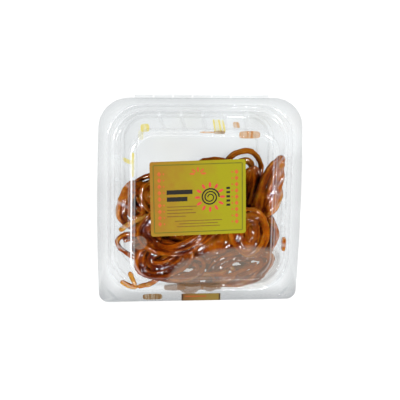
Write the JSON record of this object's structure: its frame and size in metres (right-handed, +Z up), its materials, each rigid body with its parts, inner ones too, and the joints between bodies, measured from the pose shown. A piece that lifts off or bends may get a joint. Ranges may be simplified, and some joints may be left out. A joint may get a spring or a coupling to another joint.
{
  "type": "jalebi in a clear hinged box",
  "caption": "Clear fluted hinged take-away box, shut on a heap of syrup-soaked jalebi coils, with a plain ochre label on the lid and a small seal sticker at its front edge.",
  "frame": {"origin": "centre of the whole box's bounding box, on the plane that its base rests on", "axes": "+Z up through the lid, +Y towards the hinge, so that -Y is the front edge with the seal sticker"},
  "size_m": [0.205, 0.2143, 0.072],
  "materials": {
    "clear_plastic": "clear, glossy, thermoformed",
    "label_paper": "coated paper, half gloss",
    "seal_paper": "coated paper, half gloss",
    "jalebi": "translucent amber batter under glossy sugar syrup"
  },
  "bodies": {
    "filled_tub": {"tub": "clear_plastic", "jalebi_heap": "jalebi", "jalebi_loose_piece": "jalebi"},
    "hinged_lid": {"lid": "clear_plastic", "label": "label_paper", "seal_sticker": "seal_paper"}
  },
  "joints": [
    {"name": "lid_hinge", "type": "hinge", "parent": "filled_tub", "child": "hinged_lid", "pos_m": [0, 0.106, 0.037], "axis": [-1, 0, 0], "range_deg": [0, 180]}
  ]
}
